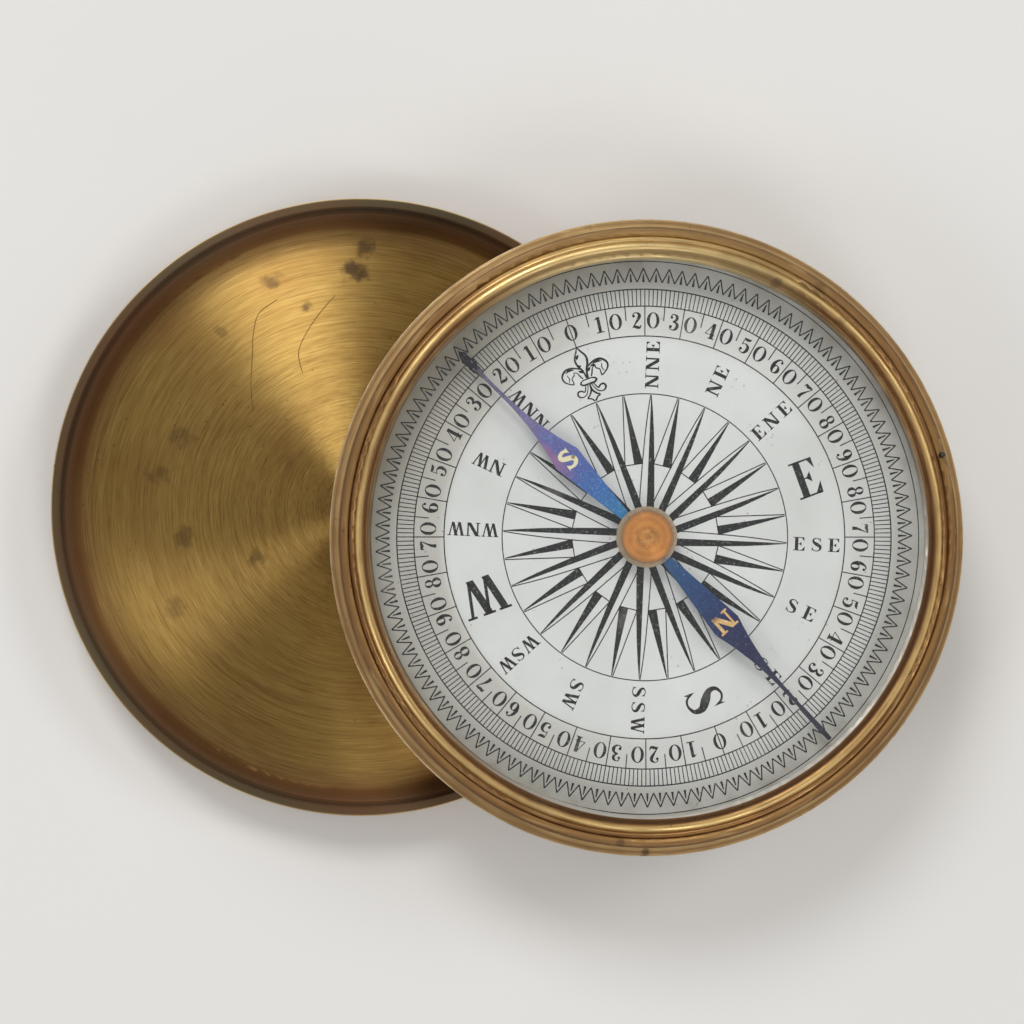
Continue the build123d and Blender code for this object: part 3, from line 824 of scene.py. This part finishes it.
def mark_fleur(paint):
    ink = Ink()
    out = bearing(1.0, 0.0)
    clockwise = Vector((out.y, -out.x))
    foot = 13.80
    right_weight = 1.05
    left_weight = 0.9
    halves = [
        pen((0.0, 5.43, 0.06), (0.20, 5.05, 0.13), (0.56, 4.40, 0.16), (0.50, 3.75, 0.18),
            (0.20, 3.15, 0.15), (0.04, 2.35, 0.17)),
        pen((0.10, 3.15, 0.08), (0.55, 3.48, 0.12), (1.20, 3.74, 0.15), (1.80, 3.70, 0.17),
            (2.25, 3.25, 0.16), (2.22, 2.75, 0.14), (1.86, 2.40, 0.10), (1.42, 2.20, 0.11),
            (1.42, 2.75, 0.09), (1.12, 3.00, 0.10), (1.05, 3.22, 0.07), (0.78, 3.12, 0.08),
            (0.62, 2.75, 0.12), (0.42, 2.40, 0.10)),
        pen((0.95, 3.50, 0.05), (1.40, 3.60, 0.22), (1.85, 3.45, 0.05)),
        pen((0.12, 2.95, 0.06), (0.36, 3.10, 0.24), (0.60, 3.25, 0.05)),
        pen((1.78, 3.25, 0.05), (1.66, 2.85, 0.09), (1.78, 2.50, 0.05)),
        pen((0.0, 2.27, 0.10), (0.50, 2.25, 0.10), (0.80, 2.02, 0.15), (0.55, 1.80, 0.16),
            (0.0, 1.80, 0.17)),
        pen((0.40, 1.70, 0.08), (0.68, 1.18, 0.12), (0.98, 1.36, 0.13), (1.32, 1.33, 0.15),
            (1.40, 1.00, 0.15), (1.10, 0.75, 0.11), (0.65, 0.85, 0.09), (0.36, 1.25, 0.08),
            (0.18, 1.70, 0.07)),
        pen((0.0, 1.70, 0.12), (0.05, 1.15, 0.16), (0.35, 0.72, 0.14), (0.62, 0.50, 0.12),
            (0.30, 0.35, 0.12), (0.05, 0.05, 0.14)),
    ]
    shading = [
        pen((-0.05, 4.75, 0.02), (-0.28, 4.55, 0.22), (-0.42, 4.30, 0.04)),
        pen((-0.18, 3.75, 0.02), (-0.36, 3.62, 0.20), (-0.46, 3.85, 0.04)),
        pen((0.62, 3.30, 0.04), (0.95, 3.36, 0.22), (1.12, 3.18, 0.10)),
    ]
    for lines in shading:
        ink.strip(*[[clockwise * x + out * (foot + y) for x, y in line] for line in lines])
    for left_line, right_line in halves:
        for side, weight in ((1.0, right_weight), (-1.0, left_weight)):
            lines = []
            for one, other in ((left_line, right_line), (right_line, left_line)):
                line = []
                for (x0, y0), (x1, y1) in zip(one, other):
                    x = (x0 + x1) / 2 + (x0 - x1) / 2 * weight
                    y = (y0 + y1) / 2 + (y0 - y1) / 2 * weight
                    line.append(clockwise * (x * side) + out * (foot + y))
                lines.append(line)
            if side > 0:
                ink.strip(lines[0], lines[1])
            else:
                ink.strip(lines[1], lines[0])
    ink.piece("dial_fleur", engraving_centre, dial_top, "case", paint)


def gilt_letter(name):
    """Strips and width of the needle's heavier N or S, one unit tall. No strip lies over another."""
    if name == "N":
        strips = [
            bar(0.17, 1.0, 0.70, 0.0, 0.25),
            ([(0.065, 0.0), (0.065, 0.962)], [(0.165, 0.0), (0.165, 0.773)]),
            ([(0.665, 0.302), (0.665, 1.0)], [(0.815, 0.019), (0.815, 1.0)]),
            slab(-0.03, 0.0, 0.065, 0.11), slab(0.165, 0.0, 0.27, 0.11),
            slab(0.57, 0.89, 0.665, 1.0), slab(0.815, 0.89, 0.92, 1.0),
            ([(-0.06, 0.89), (-0.06, 1.0)], [(0.065, 0.89), (0.045, 1.0)]),
        ]
        return strips, 0.88
    strips = [
        pen((0.59, 0.865, 0.30), (0.53, 0.875, 0.17), (0.43, 0.92, 0.13), (0.30, 0.94, 0.15),
            (0.14, 0.86, 0.17), (0.14, 0.68, 0.19), (0.34, 0.52, 0.21), (0.54, 0.36, 0.19),
            (0.54, 0.15, 0.17), (0.38, 0.05, 0.15), (0.21, 0.07, 0.13), (0.11, 0.125, 0.17),
            (0.05, 0.135, 0.30)),
    ]
    return strips, 0.64


def mark_needle(paint):
    ink = Ink()
    height = 1.85
    broad = 1.15
    for name, angle, radius in (("N", north_arm, 10.95), ("S", south_arm, 10.5)):
        out = polar(1.0, angle)
        right = Vector((out.y, -out.x))
        strips, width = gilt_letter(name)
        ink.glyph(strips, out * radius, right * broad, out, height, width / 2)
    ink.piece("needle_letters", case_axis, needle_top, "needle", paint)


def scratch_lid(paint):
    ink = Ink()
    width = 0.055
    first = [
        (-10.7, 19.4), (-11.4, 18.8), (-12.4, 17.7), (-12.65, 15.8), (-12.5, 13.8), (-12.3, 10.8),
        (-11.8, 8.2),
    ]
    second = [(-5.1, 20.5), (-6.2, 18.9), (-7.1, 17.3), (-7.8, 15.6), (-8.0, 14.2), (-7.4, 12.5)]
    for path in (first, second):
        ink.strip(*pen(*[(x, y, width) for x, y in path]))
    ink.piece("lid_scratches", lid_axis, lid_floor, "lid", paint)


def lump_south_tip(paint):
    """The dark rough lump near the end of the south arm, closed to a point at both ends."""
    inner = 21.2
    outer = 24.95
    half_width = 0.43
    half_height = 0.24
    rings = 26
    sides = 18
    out = polar(1.0, south_arm)
    aside = Vector((-out.y, out.x))
    points = []
    for i in range(rings + 1):
        share = i / rings
        swell = math.sin(math.pi * share ** 1.5) ** 0.45 if 0 < i < rings else 0.0
        for k in range(sides):
            angle = 2 * math.pi * k / sides
            rough = 1 + 0.17 * math.sin(3 * angle + 19 * share) + 0.13 * math.sin(5 * angle - 31 * share)
            sideways = half_width * swell * rough * math.cos(angle)
            spot = out * (inner + (outer - inner) * share) + aside * sideways
            points.append((spot.x * MM, spot.y * MM, half_height * swell * rough * math.sin(angle) * MM))
            if swell == 0.0:
                break
    faces = []
    last = len(points) - 1
    for k in range(sides):
        turn = (k + 1) % sides
        faces.append((0, 1 + turn, 1 + k))
        faces.append((last, last - sides + k, last - sides + turn))
        for i in range(rings - 2):
            low = 1 + i * sides
            faces.append((low + k, low + turn, low + sides + turn, low + sides + k))
    mesh = bpy.data.meshes.new("south_tip_lump")
    mesh.from_pydata(points, [], faces)
    mesh.materials.append(paint)
    mesh.shade_smooth()
    made = bpy.data.objects.new("south_tip_lump", mesh)
    bpy.context.scene.collection.objects.link(made)
    made.location = (case_axis.x, case_axis.y, needle_middle)
    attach(made, "needle")


def light(name, azimuth, elevation, power, target):
    """A round lamp that looks at the target."""
    distance = 0.6
    lamp = bpy.data.lights.new(name, "AREA")
    lamp.shape = "DISK"
    lamp.size = 0.22
    lamp.energy = power
    made = bpy.data.objects.new(name, lamp)
    bpy.context.scene.collection.objects.link(made)
    level = math.cos(math.radians(elevation))
    away = Vector((
        level * math.cos(math.radians(azimuth)), level * math.sin(math.radians(azimuth)),
        math.sin(math.radians(elevation)),
    ))
    made.location = target + away * distance
    made.rotation_euler = away.to_track_quat("Z", "Y").to_euler()


def lay_floor():
    half = 1.5
    gap = 0.00002
    mesh = bpy.data.meshes.new("floor")
    corners = [(-half, -half, 0), (half, -half, 0), (half, half, 0), (-half, half, 0)]
    mesh.from_pydata(corners, [], [(0, 1, 2, 3)])
    floor = bpy.data.objects.new("floor", mesh)
    bpy.context.scene.collection.objects.link(floor)
    floor.location.z = cad_low[2] - gap
    shade = Shade("floor_pale")
    colour = shade.ramp(shade.noise(8.0, 4.0), [(0.3, srgb(238, 236, 232)), (0.7, srgb(243, 241, 238))])
    shade.set(Base_Color=colour, Roughness=0.8)
    mesh.materials.append(shade.material)


def set_world():
    """A soft sky, brighter low down and darker toward both ends of one line across it."""
    dark_line = 66.0
    low_tone = 0.85
    high_tone = 0.34
    dark_start = 0.15
    dark_full = 0.7
    dark_share = 0.4
    world = bpy.data.worlds.new("studio")
    bpy.context.scene.world = world
    world.use_nodes = True
    tree = world.node_tree
    sky = tree.nodes["Background"]
    place = tree.nodes.new("ShaderNodeTexCoord")
    parts = tree.nodes.new("ShaderNodeSeparateXYZ")
    tree.links.new(place.outputs["Generated"], parts.inputs[0])
    ramp = tree.nodes.new("ShaderNodeValToRGB")
    tree.links.new(parts.outputs["Z"], ramp.inputs[0])
    ramp.color_ramp.elements[0].color = (low_tone, low_tone, low_tone, 1)
    ramp.color_ramp.elements[1].color = (high_tone, high_tone, high_tone, 1)
    along = tree.nodes.new("ShaderNodeVectorMath")
    along.operation = "DOT_PRODUCT"
    tree.links.new(place.outputs["Generated"], along.inputs[0])
    along.inputs[1].default_value = (*polar(1.0, dark_line), 0)
    away = tree.nodes.new("ShaderNodeMath")
    away.operation = "ABSOLUTE"
    tree.links.new(along.outputs["Value"], away.inputs[0])
    shadow = tree.nodes.new("ShaderNodeMapRange")
    shadow.interpolation_type = "SMOOTHSTEP"
    for socket, value in zip(shadow.inputs, (0.0, dark_start, dark_full, 1.0, dark_share)):
        socket.default_value = value
    tree.links.new(away.outputs[0], shadow.inputs[0])
    shaded = tree.nodes.new("ShaderNodeVectorMath")
    shaded.operation = "SCALE"
    tree.links.new(ramp.outputs["Color"], shaded.inputs[0])
    tree.links.new(shadow.outputs[0], shaded.inputs["Scale"])
    tree.links.new(shaded.outputs[0], sky.inputs["Color"])
    sky.inputs["Strength"].default_value = 1.0


def set_camera():
    """The photograph's view, from a fit of the dial, the case and the lid."""
    place = Vector((-0.9448, -7.6628, 260.0)) * MM
    forward = Vector((0.060351, 0.034382, -0.997585)).normalized()
    roughly_up = Vector((-0.116461, 0.992823, 0.027173))
    camera = bpy.data.cameras.new("photo_view")
    camera.lens = 92.287
    camera.sensor_width = 36.0
    camera.clip_start = 0.01
    made = bpy.data.objects.new("photo_view", camera)
    bpy.context.scene.collection.objects.link(made)
    right = forward.cross(roughly_up).normalized()
    up = right.cross(forward)
    turn = Matrix((right, up, -forward)).transposed().to_4x4()
    made.matrix_world = Matrix.Translation(place) @ turn
    bpy.context.scene.camera = made


def dress(name, paint):
    """Give a node of the CAD model its material."""
    slots = nodes[name].data.materials
    slots.clear()
    slots.append(paint)


lid_paint = lid_brass()
case_paint = case_brass()
dial_paint = silvered_dial()
ink_paint = dial_ink()
works_paint = plain_metal("works_brass_plain", srgb(206, 168, 98), srgb(158, 116, 62), 0.28, 0.42)
steel_paint = plain_metal("steel_dark", srgb(98, 94, 92), srgb(58, 54, 52), 0.3, 0.48)

dress("lid", lid_paint)
dress("case_cup", case_paint)
dress("bezel_ring", case_paint)
dress("glass", window_glass())
dress("dial", dial_paint)
dress("dial_spacer", dial_paint)
dress("needle", blued_steel())
dress("needle_cap", copper_cap())
dress("cap_jewel", agate())
for name in ("cap_washer", "lift_collar", "arrest_lever", "fulcrum_bracket", "arrest_spring", "pivot_stem"):
    dress(name, works_paint)
for name in ("bracket_screw", "fulcrum_pin", "spring_screw", "lock_pin", "pivot_point"):
    dress(name, steel_paint)

mark_degrees(ink_paint)
mark_numbers(ink_paint)
mark_labels(ink_paint)
mark_rose(ink_paint)
mark_zigzag(ink_paint)
mark_fleur(ink_paint)
mark_needle(needle_gold())
lump_south_tip(plain_metal("lump_rusty", srgb(46, 40, 42), srgb(18, 16, 18), 0.5, 0.7))
scratch_lid(plain_metal("scratch_dark", srgb(150, 112, 58), srgb(104, 74, 40), 0.4, 0.5))

lay_floor()
set_world()

# Lamps, aimed at the middle of the object: azimuth, elevation and power
middle = Vector(((cad_low[0] + cad_high[0]) / 2, 0, 0))
light("key", 117.0, 50.0, 1.15, middle)
light("low", 297.0, 50.0, 0.5, middle)
light("fill", 34.0, 42.0, 0.55, middle)
light("left", 215.0, 42.0, 0.45, middle)
set_camera()

bpy.context.scene.view_settings.view_transform = "Standard"
